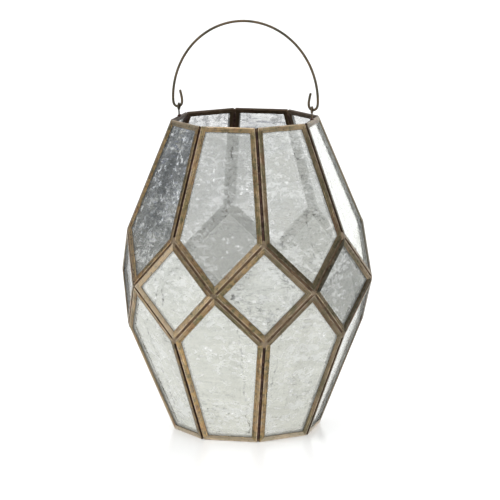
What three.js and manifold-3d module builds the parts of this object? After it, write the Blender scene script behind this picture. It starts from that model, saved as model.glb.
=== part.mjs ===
// Octagonal faceted lantern with an open top and a swinging wire bail.
// Eight upper panels, eight diamonds and eight lower panels, each a glass pane held in its own
// folded-brass U channel frame, stand on an octagonal base plate. Two wire eyelets on opposite
// sides of the rim carry the bail. Millimetres, +Z up, origin at the centre of the base on the
// surface the lantern stands on. The bail turns about a line parallel to X.
import * as THREE from 'three';
import { mergeVertices } from 'three/addons/utils/BufferGeometryUtils.js';
import Module from 'manifold-3d';

// ---- driving dimensions --------------------------------------------------------------------
const SIDES = 8;
const HEIGHT = 314;            // base to rim, along the outer faces
const R_MID = 129.6;           // axis to the waist corners, the widest ring of the shell
const DIAMOND_HALF = 49.2;     // half the height of a diamond

const CHANNEL_DEPTH = 3.6;     // U channel, measured through the panel
const CHANNEL_FACE = 5.6;      // U channel, width of its two lips
const CHANNEL_WALL = 0.5;      // sheet that the channel is folded from
const SEAM_GAP = 0.3;          // between the back edges of neighbouring frames

const PANE_THICKNESS = 2.0;
const PANE_EDGE_GAP = 0.3;     // from the pane's edge to the channel's web

const BASE_THICKNESS = 1.0;
const BASE_APOTHEM = 65.6;

const PIVOT_X = 68.0;          // eyelet plane, either side of the axis
const PIVOT_RISE = 9.1;        // bail axis above the rim
const EYELET_WIRE_R = 0.8;
const EYELET_RING_R = 3.2;     // centre line of the ring
const EYELET_FOOT_R = 1.6;
const EYELET_FOOT_H = 0.9;

const BAIL_WIRE_R = 1.3;
const BAIL_HALF_WIDTH = 74.0;
const BAIL_ARCH_BASE = 8.5;    // height of the arch's widest point above the bail axis
const BAIL_ARCH_RISE = 78.3;   // from there to the crown
const BAIL_SIDES = 8;
const BAIL_STEPS = 150;

// ---- derived ring sizes: every panel is flat ----------------------------------------------
const STEP = (2 * Math.PI) / SIDES;
const C = Math.cos(STEP / 2);
const R_DIAMOND = R_MID * C;                       // diamond tips; a diamond stands upright
const Z_MID = HEIGHT / 2;
const Z_LOW = Z_MID - DIAMOND_HALF;
const Z_HIGH = Z_MID + DIAMOND_HALF;
const SLOPE = (R_MID - R_DIAMOND * C) / DIAMOND_HALF;   // panel's lean, radius per height
const RIM_APOTHEM = R_DIAMOND * C - SLOPE * Z_LOW;
const R_RIM = RIM_APOTHEM / C;
const TILT = Math.atan(SLOPE);

const ring = (radius, angle, z) => new THREE.Vector3(radius * Math.cos(angle), radius * Math.sin(angle), z);

// ---- materials ------------------------------------------------------------------------------
const brass = () => new THREE.MeshStandardMaterial({ color: 0x8a7656, roughness: 0.48, metalness: 0.9 });
const wire = () => new THREE.MeshStandardMaterial({ color: 0x5e4d39, roughness: 0.42, metalness: 0.9 });
const tray = () => new THREE.MeshStandardMaterial({ color: 0x6f5f45, roughness: 0.55, metalness: 0.85 });
const glass = () => new THREE.MeshStandardMaterial({
  color: 0xcdd1ca, roughness: 0.22, metalness: 0.0, transparent: true, opacity: 0.6,
});

// ---- helpers --------------------------------------------------------------------------------
// A flat panel: its corners on the shell, anticlockwise seen from outside, in a local frame with
// z out of the face; offset(list) gives the outline moved in by one distance per side.
function panelFrame(corners) {
  const centre = corners.reduce((a, p) => a.add(p), new THREE.Vector3()).divideScalar(corners.length);
  const normal = new THREE.Vector3();
  corners.forEach((p, i) => {
    const q = corners[(i + 1) % corners.length];
    normal.add(new THREE.Vector3().crossVectors(p.clone().sub(centre), q.clone().sub(centre)));
  });
  normal.normalize();
  const x = new THREE.Vector3(-normal.y, normal.x, 0).normalize();
  const y = new THREE.Vector3().crossVectors(normal, x);
  const flat = corners.map((p) => {
    const d = p.clone().sub(centre);
    return new THREE.Vector2(d.dot(x), d.dot(y));
  });
  const matrix = new THREE.Matrix4().makeBasis(x, y, normal).setPosition(centre);
  return { flat, normal, matrix };
}

function offset(flat, distances) {
  const n = flat.length;
  const lines = flat.map((p, i) => {
    const q = flat[(i + 1) % n];
    const dir = q.clone().sub(p).normalize();
    const inward = new THREE.Vector2(-dir.y, dir.x);
    return { point: p.clone().addScaledVector(inward, distances[i]), dir };
  });
  return flat.map((_, i) => {
    const a = lines[(i + n - 1) % n];
    const b = lines[i];
    const cross = a.dir.x * b.dir.y - a.dir.y * b.dir.x;
    const d = b.point.clone().sub(a.point);
    const t = (d.x * b.dir.y - d.y * b.dir.x) / cross;
    return a.point.clone().addScaledVector(a.dir, t);
  });
}

// The U channel bent round the panel's outline, mitred at each corner. Section points are
// (distance in from the outline, depth behind the face).
function channelGeometry(flat, insets) {
  const section = [
    [0, 0], [CHANNEL_FACE, 0], [CHANNEL_FACE, CHANNEL_WALL], [CHANNEL_WALL, CHANNEL_WALL],
    [CHANNEL_WALL, CHANNEL_DEPTH - CHANNEL_WALL], [CHANNEL_FACE, CHANNEL_DEPTH - CHANNEL_WALL],
    [CHANNEL_FACE, CHANNEL_DEPTH], [0, CHANNEL_DEPTH],
  ];
  const n = flat.length;
  const positions = [];
  for (const [inwards, depth] of section) {
    for (const p of offset(flat, insets.map((w) => w + inwards))) positions.push(p.x, p.y, -depth);
  }
  const index = [];
  for (let s = 0; s < section.length; s += 1) {
    const t = (s + 1) % section.length;
    for (let i = 0; i < n; i += 1) {
      const j = (i + 1) % n;
      const [a, b, c, d] = [s * n + i, s * n + j, t * n + j, t * n + i];
      index.push(a, b, c, a, c, d);
    }
  }
  const geometry = new THREE.BufferGeometry();
  geometry.setAttribute('position', new THREE.Float32BufferAttribute(positions, 3));
  geometry.setIndex(index);
  return geometry;
}

function paneGeometry(flat, insets) {
  const outline = offset(flat, insets.map((w) => w + CHANNEL_WALL + PANE_EDGE_GAP));
  const geometry = new THREE.ExtrudeGeometry(new THREE.Shape(outline), {
    depth: PANE_THICKNESS, bevelEnabled: false, steps: 1,
  });
  geometry.translate(0, 0, -(CHANNEL_DEPTH + PANE_THICKNESS) / 2);
  return geometry;
}

const wasm = await Module();
wasm.setup();

function toManifold(geometry) {
  const g = geometry.clone();
  g.deleteAttribute('normal');
  g.deleteAttribute('uv');
  const merged = mergeVertices(g, 1e-4);
  return new wasm.Manifold(new wasm.Mesh({
    numProp: 3,
    vertProperties: Float32Array.from(merged.attributes.position.array),
    triVerts: Uint32Array.from(merged.index.array),
  }));
}

function fromManifold(solid) {
  const mesh = solid.getMesh();
  const geometry = new THREE.BufferGeometry();
  geometry.setAttribute('position', new THREE.Float32BufferAttribute(mesh.vertProperties, 3));
  geometry.setIndex(Array.from(mesh.triVerts));
  return geometry;
}

const group = new THREE.Group();

function place(name, geometry, material, matrix) {
  const mesh = new THREE.Mesh(geometry, material);
  mesh.name = name;
  if (matrix) mesh.applyMatrix4(matrix);
  group.add(mesh);
  return mesh;
}

// ---- the glazed shell ------------------------------------------------------------------------
// Panel k is centred on the azimuth k * 45 degrees and the diamond k on the seam after it.
const rows = { upper: [], diamond: [], lower: [] };
for (let k = 0; k < SIDES; k += 1) {
  const mid = k * STEP;
  const right = mid + STEP / 2;      // seam anticlockwise of the panel, seen from above
  const left = mid - STEP / 2;
  rows.upper.push([
    ring(R_MID, mid, Z_MID), ring(R_DIAMOND, right, Z_HIGH), ring(R_RIM, right, HEIGHT),
    ring(R_RIM, left, HEIGHT), ring(R_DIAMOND, left, Z_HIGH),
  ]);
  rows.diamond.push([
    ring(R_DIAMOND, right, Z_LOW), ring(R_MID, mid + STEP, Z_MID),
    ring(R_DIAMOND, right, Z_HIGH), ring(R_MID, mid, Z_MID),
  ]);
  rows.lower.push([
    ring(R_RIM, left, 0), ring(R_RIM, right, 0), ring(R_DIAMOND, right, Z_LOW),
    ring(R_MID, mid, Z_MID), ring(R_DIAMOND, left, Z_LOW),
  ]);
}

const normalOf = (row, k) => panelFrame(rows[row][(k + SIDES) % SIDES]).normal;
// A channel's web stands square to its pane, so on a folded seam the frames touch at their back
// edges and leave a V groove outside: the web moves in from the seam by this much.
const seamInset = (a, b) => CHANNEL_DEPTH * Math.tan(a.angleTo(b) / 2) + SEAM_GAP / 2;
const SEAM_SIDE = seamInset(normalOf('upper', 0), normalOf('upper', 1));
const SEAM_DIAMOND = seamInset(normalOf('upper', 0), normalOf('diamond', 0));

const insets = {
  upper: [SEAM_DIAMOND, SEAM_SIDE, 0, SEAM_SIDE, SEAM_DIAMOND],
  diamond: [SEAM_DIAMOND, SEAM_DIAMOND, SEAM_DIAMOND, SEAM_DIAMOND],
  lower: [0, SEAM_SIDE, SEAM_DIAMOND, SEAM_DIAMOND, SEAM_SIDE],
};

for (const row of Object.keys(rows)) {
  rows[row].forEach((corners, k) => {
    const { flat, matrix } = panelFrame(corners);
    place(`frame_${row}_${k}`, channelGeometry(flat, insets[row]), brass(), matrix);
    place(`pane_${row}_${k}`, paneGeometry(flat, insets[row]), glass(), matrix);
  });
}

// ---- base plate ------------------------------------------------------------------------------
const base = new THREE.CylinderGeometry(BASE_APOTHEM / C, BASE_APOTHEM / C, BASE_THICKNESS, SIDES);
base.rotateX(Math.PI / 2);
base.rotateZ(STEP / 2);
base.translate(0, 0, BASE_THICKNESS / 2);
place('base_plate', base, tray());

// ---- eyelets ---------------------------------------------------------------------------------
// A wire ring facing sideways on a short shank, with a solder foot flat on the rim's sloping web.
function eyelet(side) {
  const pivotZ = HEIGHT + PIVOT_RISE;
  const slopeZ = HEIGHT - (RIM_APOTHEM - PIVOT_X) * Math.tan(TILT);   // web's height under the shank
  const torus = new THREE.TorusGeometry(EYELET_RING_R, EYELET_WIRE_R, 8, 24);
  torus.rotateY(Math.PI / 2);
  torus.translate(0, 0, pivotZ);
  const shankBottom = slopeZ + 0.7;
  const shankTop = pivotZ - EYELET_RING_R;
  const shank = new THREE.CylinderGeometry(EYELET_WIRE_R, EYELET_WIRE_R, shankTop - shankBottom, 8);
  shank.rotateX(Math.PI / 2);
  shank.translate(0, 0, (shankTop + shankBottom) / 2);
  const foot = new THREE.CylinderGeometry(EYELET_FOOT_R * 0.72, EYELET_FOOT_R, EYELET_FOOT_H, 12);
  foot.rotateX(Math.PI / 2);
  foot.translate(0, 0, SEAM_GAP + EYELET_FOOT_H / 2);
  foot.rotateY(-TILT);
  foot.translate(-0.55, 0, slopeZ - 0.21);
  const solid = toManifold(torus).add(toManifold(shank)).add(toManifold(foot));
  const geometry = fromManifold(solid);
  geometry.translate(PIVOT_X, 0, 0);
  if (side < 0) geometry.rotateZ(Math.PI);
  return geometry;
}
place('eyelet_right', eyelet(1), wire());
place('eyelet_left', eyelet(-1), wire());

// ---- bail ------------------------------------------------------------------------------------
// One round wire: a tall arch whose ends pass out over the eyelets, turn in through the rings and
// come back up inside as open hooks. Points are (distance from the axis, height above the pivot).
const hook = [
  [66.9, 17.0], [65.9, 13.2], [65.1, 9.4], [64.75, 6.0], [65.15, 3.1], [66.7, 0.9], [69.1, 0.0],
  [71.5, 0.75], [73.1, 2.6], [73.75, 5.2],
];
const arch = [];
for (let i = 0; i <= 36; i += 1) {
  const t = (i / 36) * Math.PI;
  arch.push([BAIL_HALF_WIDTH * Math.cos(t), BAIL_ARCH_BASE + BAIL_ARCH_RISE * Math.sin(t)]);
}
const outline = [
  ...hook, ...arch, ...hook.slice().reverse().map(([x, z]) => [-x, z]),
];
const bailPath = new THREE.CatmullRomCurve3(
  outline.map(([x, z]) => new THREE.Vector3(x, 0, z)), false, 'centripetal',
);
const wireSection = new THREE.Shape(
  Array.from({ length: BAIL_SIDES }, (_, i) => {
    const a = (i / BAIL_SIDES) * 2 * Math.PI;
    return new THREE.Vector2(BAIL_WIRE_R * Math.cos(a), BAIL_WIRE_R * Math.sin(a));
  }),
);
const bail = new THREE.ExtrudeGeometry(wireSection, {
  steps: BAIL_STEPS, extrudePath: bailPath, bevelEnabled: false,
});
const bailMesh = place('bail_handle', bail, wire());
bailMesh.position.set(0, 0, HEIGHT + PIVOT_RISE);

export default group;
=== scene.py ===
"""Faceted lantern of antiqued mercury glass in brass channel frames: the looks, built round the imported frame."""
import bmesh
import bpy
import math
from mathutils import Matrix, Vector, noise


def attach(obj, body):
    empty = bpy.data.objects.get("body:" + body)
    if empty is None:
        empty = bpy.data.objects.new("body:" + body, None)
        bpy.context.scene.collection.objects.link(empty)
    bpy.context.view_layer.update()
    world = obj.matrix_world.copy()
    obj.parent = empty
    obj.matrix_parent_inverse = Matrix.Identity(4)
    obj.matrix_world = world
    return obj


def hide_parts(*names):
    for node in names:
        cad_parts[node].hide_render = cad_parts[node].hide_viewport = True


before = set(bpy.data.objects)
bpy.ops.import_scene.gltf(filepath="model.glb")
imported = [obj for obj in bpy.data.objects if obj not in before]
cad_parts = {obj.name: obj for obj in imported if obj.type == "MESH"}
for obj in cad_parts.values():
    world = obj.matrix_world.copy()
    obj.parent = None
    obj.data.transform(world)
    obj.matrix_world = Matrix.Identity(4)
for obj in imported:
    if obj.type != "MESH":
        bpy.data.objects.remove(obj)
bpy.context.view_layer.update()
MM = 0.001

# ------------------------------------------------------------------------------------------------
# the shell's own dimensions, in millimetres, as the frame has them
# ------------------------------------------------------------------------------------------------
SIDES = 8
HEIGHT = 314.0
R_MID = 129.6
DIAMOND_HALF = 49.2
DEPTH = 3.6
FACE = 5.6
WALL = 0.5
GAP = 0.3
STEP = 2 * math.pi / SIDES
COS = math.cos(STEP / 2)
R_DIAMOND = R_MID * COS
Z_MID = HEIGHT / 2
Z_LOW = Z_MID - DIAMOND_HALF
Z_HIGH = Z_MID + DIAMOND_HALF
SLOPE = (R_MID - R_DIAMOND * COS) / DIAMOND_HALF
RIM_APOTHEM = R_DIAMOND * COS - SLOPE * Z_LOW
R_RIM = RIM_APOTHEM / COS
TILT = math.atan(SLOPE)
PIVOT_Z = HEIGHT + 9.1
PIVOT_X = 68.0


def ring(radius, angle, z):
    return Vector((radius * math.cos(angle), radius * math.sin(angle), z))


def panel_frame(corners):
    centre = sum(corners, Vector()) / len(corners)
    normal = Vector()
    for i, p in enumerate(corners):
        q = corners[(i + 1) % len(corners)]
        normal += (p - centre).cross(q - centre)
    normal.normalize()
    x = Vector((-normal.y, normal.x, 0)).normalized()
    y = normal.cross(x)
    flat = [Vector(((p - centre).dot(x), (p - centre).dot(y))) for p in corners]
    return flat, centre, x, y, normal


def offset(flat, distances):
    n = len(flat)
    lines = []
    for i in range(n):
        p, q = flat[i], flat[(i + 1) % n]
        d = (q - p).normalized()
        lines.append((p + Vector((-d.y, d.x)) * distances[i], d))
    out = []
    for i in range(n):
        (p, a), (q, b) = lines[i - 1], lines[i]
        cross = a.x * b.y - a.y * b.x
        d = q - p
        out.append(p + a * ((d.x * b.y - d.y * b.x) / cross))
    return out


rows = {"upper": [], "diamond": [], "lower": []}
for k in range(SIDES):
    mid = k * STEP
    right, left = mid + STEP / 2, mid - STEP / 2
    rows["upper"].append([
        ring(R_MID, mid, Z_MID), ring(R_DIAMOND, right, Z_HIGH), ring(R_RIM, right, HEIGHT),
        ring(R_RIM, left, HEIGHT), ring(R_DIAMOND, left, Z_HIGH),
    ])
    rows["diamond"].append([
        ring(R_DIAMOND, right, Z_LOW), ring(R_MID, mid + STEP, Z_MID),
        ring(R_DIAMOND, right, Z_HIGH), ring(R_MID, mid, Z_MID),
    ])
    rows["lower"].append([
        ring(R_RIM, left, 0), ring(R_RIM, right, 0), ring(R_DIAMOND, right, Z_LOW),
        ring(R_MID, mid, Z_MID), ring(R_DIAMOND, left, Z_LOW),
    ])


def normal_of(row, k):
    return panel_frame(rows[row][k % SIDES])[4]


FOLD_SIDE = normal_of("upper", 0).angle(normal_of("upper", 1))
FOLD_DIAMOND = normal_of("upper", 0).angle(normal_of("diamond", 0))
IN_SIDE = DEPTH * math.tan(FOLD_SIDE / 2) + GAP / 2
IN_DIAMOND = DEPTH * math.tan(FOLD_DIAMOND / 2) + GAP / 2
insets = {
    "upper": [IN_DIAMOND, IN_SIDE, 0, IN_SIDE, IN_DIAMOND],
    "diamond": [IN_DIAMOND] * 4,
    "lower": [0, IN_SIDE, IN_DIAMOND, IN_DIAMOND, IN_SIDE],
}


def fbm(v, scale, octaves=3, seed=0.0):
    """Smooth noise about -1 to 1 at a point in millimetres."""
    p = Vector((v[0] * scale + seed, v[1] * scale - seed * 0.37, v[2] * scale + seed * 1.7))
    return noise.fractal(p, 0.6, 2.1, octaves, noise_basis="PERLIN_ORIGINAL")


# ------------------------------------------------------------------------------------------------
# camera, floor and light
# ------------------------------------------------------------------------------------------------
CAM_AZ, CAM_EL, CAM_ROLL = math.radians(14.04), math.radians(10.28), math.radians(0.35)
CAM_D = 3.251
back = Vector((math.sin(CAM_AZ) * math.cos(CAM_EL), -math.cos(CAM_AZ) * math.cos(CAM_EL), math.sin(CAM_EL)))
right_v = Vector((math.cos(CAM_AZ), math.sin(CAM_AZ), 0))
up_v = back.cross(right_v)
cr, sr = math.cos(CAM_ROLL), math.sin(CAM_ROLL)
cam_x, cam_y = right_v * cr - up_v * sr, right_v * sr + up_v * cr
target = right_v * 0.00395 + Vector((0, 0, 0.18006))
cam_data = bpy.data.cameras.new("camera")
cam_data.sensor_width = 36
cam_data.lens = 18 * CAM_D / 0.25
cam_data.clip_start, cam_data.clip_end = 0.05, 100
cam = bpy.data.objects.new("camera", cam_data)
cam.matrix_world = Matrix((
    (cam_x.x, cam_y.x, back.x, 0), (cam_x.y, cam_y.y, back.y, 0), (cam_x.z, cam_y.z, back.z, 0), (0, 0, 0, 1),
))
cam.location = target + back * CAM_D
bpy.context.scene.collection.objects.link(cam)
bpy.context.scene.camera = cam
scene = bpy.context.scene
scene.view_settings.view_transform = "Standard"
scene.view_settings.look = "None"
scene.cycles.transparent_max_bounces = 24
scene.cycles.max_bounces = 12


# the room beyond the floor: (towards, full within, gone by, brightness), each over the ones before
ROOM = [
    ((0.18, 0.955, -0.13), 24, 48, 1.30),        # the lit backdrop
    ((-0.238, -0.831, 0.506), 16, 46, 0.60),     # behind the camera
    ((0.885, -0.168, 0.431), 14, 44, 0.56),      # right
    ((0.845, 0.506, -0.178), 8, 27, 0.42),       # right, low, behind
    ((-0.947, 0.246, 0.207), 20, 30, 0.10),      # left, behind
    ((-0.860, 0.480, 0.160), 4, 7, 0.90),        # bright gaps in it
    ((-0.960, 0.030, 0.270), 3, 7, 0.80),
    ((-0.880, 0.300, 0.370), 4, 8, 1.00),
    ((-0.975, 0.215, 0.060), 3, 6, 0.55),
    ((-0.18, -0.52, 0.83), 7, 11, 4.0),          # small lamps overhead
    ((0.62, -0.30, 0.72), 6, 10, 3.0),
]


def area(name, at, to, size, power, colour=(1, 1, 1)):
    data = bpy.data.lights.new(name, "AREA")
    data.shape = "RECTANGLE"
    data.size, data.size_y = size
    data.energy = power
    data.color = colour
    o = bpy.data.objects.new(name, data)
    o.location = at
    o.rotation_mode = "QUATERNION"
    o.rotation_quaternion = (Vector(at) - Vector(to)).to_track_quat("Z", "Y")
    o.visible_glossy = False
    scene.collection.objects.link(o)
    return o


# ------------------------------------------------------------------------------------------------
# node helpers
# ------------------------------------------------------------------------------------------------
class Nodes:
    def __init__(self, name):
        self.mat = bpy.data.materials.new(name)
        self.mat.use_nodes = True
        self.nt = self.mat.node_tree
        self.nt.nodes.clear()
        self.out = self.nt.nodes.new("ShaderNodeOutputMaterial")
        self.bsdf = self.nt.nodes.new("ShaderNodeBsdfPrincipled")
        self.nt.links.new(self.bsdf.outputs["BSDF"], self.out.inputs["Surface"])

    def new(self, kind, **props):
        n = self.nt.nodes.new(kind)
        for k, v in props.items():
            setattr(n, k, v)
        return n

    def put(self, socket, value):
        if hasattr(value, "links"):
            self.nt.links.new(value, socket)
        elif isinstance(value, (tuple, list)) and socket.type == "RGBA" and len(value) == 3:
            socket.default_value = (*value, 1)
        else:
            socket.default_value = value

    def attr(self, name, out="Vector"):
        return self.new("ShaderNodeAttribute", attribute_name=name).outputs[out]

    def scaled(self, vec, scale, loc=(0, 0, 0)):
        n = self.new("ShaderNodeMapping")
        self.put(n.inputs["Vector"], vec)
        n.inputs["Scale"].default_value = scale
        n.inputs["Location"].default_value = loc
        return n.outputs["Vector"]

    def noise(self, vec, scale=1.0, detail=3.0, rough=0.5, warp=0.0, out="Fac", kind="FBM"):
        n = self.new("ShaderNodeTexNoise")
        n.noise_type = kind
        self.put(n.inputs["Vector"], vec)
        n.inputs["Scale"].default_value = scale
        n.inputs["Detail"].default_value = detail
        n.inputs["Roughness"].default_value = rough
        n.inputs["Distortion"].default_value = warp
        return n.outputs[out]

    def cells(self, vec, scale, out="Distance", feature="F1", rand=1.0):
        n = self.new("ShaderNodeTexVoronoi", feature=feature)
        self.put(n.inputs["Vector"], vec)
        n.inputs["Scale"].default_value = scale
        n.inputs["Randomness"].default_value = rand
        return n.outputs[out]

    def span(self, v, lo, hi, to_lo=0.0, to_hi=1.0, smooth=True):
        n = self.new("ShaderNodeMapRange", interpolation_type="SMOOTHSTEP" if smooth else "LINEAR")
        self.put(n.inputs["Value"], v)
        for key, x in (("From Min", lo), ("From Max", hi), ("To Min", to_lo), ("To Max", to_hi)):
            self.put(n.inputs[key], x)
        return n.outputs["Result"]

    def math(self, op, a, b=0.0, c=0.0, clamp=False):
        n = self.new("ShaderNodeMath", operation=op, use_clamp=clamp)
        self.put(n.inputs[0], a)
        self.put(n.inputs[1], b)
        if op == "MULTIPLY_ADD":
            self.put(n.inputs[2], c)
        return n.outputs[0]

    def mix(self, f, a, b, blend="MIX"):
        n = self.new("ShaderNodeMix", data_type="RGBA", blend_type=blend)
        self.put(n.inputs[0], f)
        self.put(n.inputs[6], a)
        self.put(n.inputs[7], b)
        return n.outputs[2]

    def bump(self, height, strength, distance, under=None):
        n = self.new("ShaderNodeBump")
        n.inputs["Strength"].default_value = strength
        n.inputs["Distance"].default_value = distance
        self.put(n.inputs["Height"], height)
        if under is not None:
            self.put(n.inputs["Normal"], under)
        return n.outputs["Normal"]

    def set(self, **values):
        for key, v in values.items():
            self.put(self.bsdf.inputs[key.replace("_", " ")], v)
        return self.mat


# ------------------------------------------------------------------------------------------------
# materials
# ------------------------------------------------------------------------------------------------
def make_mercury():
    """Glass silvered on its inner face, the silvering worn. pane_co is (across, up, seed) in metres;
    pane_aux is (distance from the pane's edge in metres, 0 on the outer face to 1 on the silvered one, tone);
    pane_crack is (one crack's place across, the other's, how worn the pane is)."""
    n = Nodes("mercury_glass")
    co = n.attr("pane_co")
    sep = n.new("ShaderNodeSeparateXYZ")
    n.put(sep.inputs[0], co)
    aux = n.new("ShaderNodeSeparateXYZ")
    n.put(aux.inputs[0], n.attr("pane_aux"))
    crk = n.new("ShaderNodeSeparateXYZ")
    n.put(crk.inputs[0], n.attr("pane_crack"))
    edge, side, tone_k = aux.outputs
    silver = n.span(side, 0.4, 0.6)
    film_ = n.new("ShaderNodeSeparateXYZ")
    n.put(film_.inputs[0], n.attr("pane_film"))
    gain, thick = film_.outputs["X"], film_.outputs["Y"]

    region = n.noise(n.scaled(co, (24, 17, 1)), 1.0, 3, 0.55)
    dash = n.noise(n.scaled(co, (150, 430, 1)), 1.0, 4, 0.60, warp=0.5)
    blotch = n.noise(n.scaled(co, (185, 215, 1), (3, 7, 2)), 1.0, 3, 0.60, warp=0.3)
    speck = n.noise(n.scaled(co, (560, 640, 1), (1, 9, 4)), 1.0, 2, 0.5)
    smear = n.noise(n.scaled(co, (40, 120, 1), (8, 1, 6)), 1.0, 4, 0.6, warp=0.8)
    # the silvering has worn more in some regions, and in from the frame
    near_edge = n.span(edge, 0.0, 0.016, 1.0, 0.0)
    bias = n.math("MULTIPLY_ADD", n.math("SUBTRACT", region, 0.5), 0.42, n.math("MULTIPLY", near_edge, 0.008))
    bias = n.math("ADD", bias, n.math("MULTIPLY", n.math("SUBTRACT", crk.outputs["Z"], 0.5), 0.06))
    dashes = n.span(n.math("ADD", dash, bias), 0.53, 0.68)
    spots = n.span(n.math("ADD", blotch, n.math("MULTIPLY", bias, 0.9)), 0.63, 0.73)
    flecks = n.span(n.math("ADD", speck, n.math("MULTIPLY", bias, 0.5)), 0.655, 0.74)

    def crack(at, seed):
        wiggle = n.math("SUBTRACT", n.noise(n.scaled(co, (0.5, 70, 1), (seed, 0, seed)), 1.0, 3, 0.6), 0.5)
        off = n.math("ABSOLUTE", n.math("ADD", n.math("SUBTRACT", sep.outputs["X"], at), n.math("MULTIPLY", wiggle, 0.012)))
        line = n.span(off, 0.0003, 0.0017, 1.0, 0.0)
        broken = n.span(n.noise(n.scaled(co, (300, 210, 1), (seed, 3, 1)), 1.0, 3, 0.6), 0.47, 0.60)
        extent = n.span(n.noise(n.scaled(co, (4, 14, 1), (seed, 5, 2)), 1.0, 1, 0.5), 0.36, 0.50)
        return n.math("MULTIPLY", n.math("MULTIPLY", line, broken), extent)

    cracks = n.math("MAXIMUM", crack(crk.outputs["X"], 2.0), crack(crk.outputs["Y"], 7.0))
    bare = n.math("MAXIMUM", n.math("MULTIPLY", dashes, 0.34), n.math("MULTIPLY", spots, 0.80))
    bare = n.math("MAXIMUM", bare, n.math("MULTIPLY", flecks, 0.8))
    bare = n.math("MAXIMUM", bare, n.math("MULTIPLY", cracks, 0.9))
    haze = n.span(smear, 0.36, 0.66)
    cloud = n.span(blotch, 0.34, 0.66)
    tone = n.mix(haze, (0.910, 0.918, 0.868), (0.808, 0.822, 0.770))
    tone = n.mix(n.math("MULTIPLY", cloud, 0.38), tone, (0.680, 0.700, 0.665))
    warm = n.span(n.noise(n.scaled(co, (20, 26, 1), (11, 2, 5)), 1.0, 2, 0.5), 0.45, 0.68)
    low = n.span(sep.outputs["Y"], 0.02, -0.06)
    tone = n.mix(n.math("MULTIPLY", n.math("MAXIMUM", warm, low), 0.28), tone, (0.900, 0.880, 0.770))
    place = n.new("ShaderNodeSeparateXYZ")
    n.put(place.inputs[0], n.new("ShaderNodeTexCoord").outputs["Object"])
    tone = n.mix(n.math("MULTIPLY", n.span(place.outputs["Z"], 0.22, 0.08), 0.55), tone, (0.900, 0.893, 0.785))
    tone = n.mix(n.math("MULTIPLY", dashes, 0.30), tone, (0.520, 0.545, 0.520))
    tone = n.mix(n.math("MULTIPLY", n.math("MAXIMUM", cracks, spots), 0.60), tone, (0.330, 0.342, 0.320))
    # white flakes where the film has lifted off the glass, painted bright white: partly lifted film, partly painted
    # glint
    flake_v = n.scaled(co, (210, 300, 1), (12, 4, 1))
    t_edge = n.noise(n.scaled(co, (700, 900, 1), (8, 4, 2)), 1.0, 3, 0.6)
    flake_d = n.cells(flake_v, 1.0, "Distance")
    flake_c = n.new("ShaderNodeSeparateColor")
    n.put(flake_c.inputs[0], n.cells(flake_v, 1.0, "Color"))
    flake_zone = n.span(n.noise(n.scaled(co, (30, 26, 1), (2, 14, 3)), 1.0, 3, 0.6), 0.46, 0.62)
    ragged = n.math("MULTIPLY", n.math("SUBTRACT", t_edge, 0.5), 1.5)
    flakes_and_glints = n.span(n.math("ADD", flake_d, ragged), 0.50, 0.22)
    flakes_and_glints = n.math("MULTIPLY", flakes_and_glints, n.span(n.math("ADD", flake_c.outputs[0], n.math("MULTIPLY", flake_zone, 0.20)), 0.88, 0.96))
    flakes_and_glints = n.math("MULTIPLY", flakes_and_glints, n.math("MULTIPLY_ADD", flake_zone, 0.45, 0.08))
    # blue-grey tarnish, in small dark and pale flecks
    tarnish = film_.outputs["Z"]
    t_big = n.noise(n.scaled(co, (34, 30, 1), (4, 4, 2)), 1.0, 3, 0.6)
    t_fine = n.noise(n.scaled(co, (150, 175, 1), (7, 7, 2)), 1.0, 5, 0.66, warp=0.5)
    t_zone = n.math("MULTIPLY", n.span(t_big, 0.34, 0.58), tarnish)
    t_dark = n.math("MULTIPLY", n.span(n.math("MULTIPLY_ADD", t_zone, 0.10, t_fine), 0.50, 0.62), t_zone)
    t_pale = n.math("MULTIPLY", n.span(t_fine, 0.44, 0.36), t_zone)
    # milky patches with broken edges, and fine level streaks in them
    milk_n = n.math("MULTIPLY_ADD", n.noise(n.scaled(co, (120, 190, 1), (9, 6, 5)), 1.0, 5, 0.68, warp=0.6), 0.75,
                    n.math("MULTIPLY", n.noise(n.scaled(co, (26, 30, 1), (1, 5, 8)), 1.0, 2, 0.5), 0.35))
    milk = n.span(milk_n, 0.545, 0.640)
    level = n.span(n.noise(n.scaled(co, (30, 900, 1), (3, 3, 1)), 1.0, 3, 0.6), 0.48, 0.66)
    tone = n.mix(n.math("MULTIPLY", level, 0.16), tone, (0.560, 0.575, 0.550))
    tone = n.mix(n.math("MULTIPLY", milk, 0.43), tone, (0.975, 0.980, 0.975))
    tone = n.mix(n.math("MULTIPLY", t_zone, 0.62), tone, (0.455, 0.510, 0.580))
    stain = n.noise(n.scaled(co, (62, 30, 1), (5, 8, 2)), 1.0, 3, 0.55, warp=0.6)
    stain = n.math("MULTIPLY", n.span(stain, 0.49, 0.57), n.math("MULTIPLY", tarnish, tarnish))
    smoke = n.noise(n.scaled(co, (70, 400, 1), (6, 1, 9)), 1.0, 3, 0.6, warp=0.4)
    smoke = n.math("MULTIPLY", n.span(smoke, 0.51, 0.62), tarnish)
    tone = n.mix(n.math("MULTIPLY", smoke, 0.80), tone, (0.300, 0.340, 0.520))
    tone = n.mix(n.math("MULTIPLY", stain, 0.70), tone, (0.130, 0.148, 0.178))
    tone = n.mix(n.math("MULTIPLY", t_dark, 0.85), tone, (0.070, 0.082, 0.098))
    tone = n.mix(n.math("MULTIPLY", t_pale, 0.80), tone, (0.960, 0.970, 0.990))
    scale_ = n.new("ShaderNodeVectorMath", operation="SCALE")
    n.put(scale_.inputs[0], tone)
    n.put(scale_.inputs["Scale"], tone_k)
    tone = scale_.outputs["Vector"]
    # the flakes are laid on white: partly painted glint
    tone = n.mix(flakes_and_glints, tone, (0.985, 0.985, 0.980))
    tone = n.mix(silver, (0.86, 0.90, 0.88), tone)
    film = n.math("SUBTRACT", thick, n.math("MULTIPLY", haze, 0.06))
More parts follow.
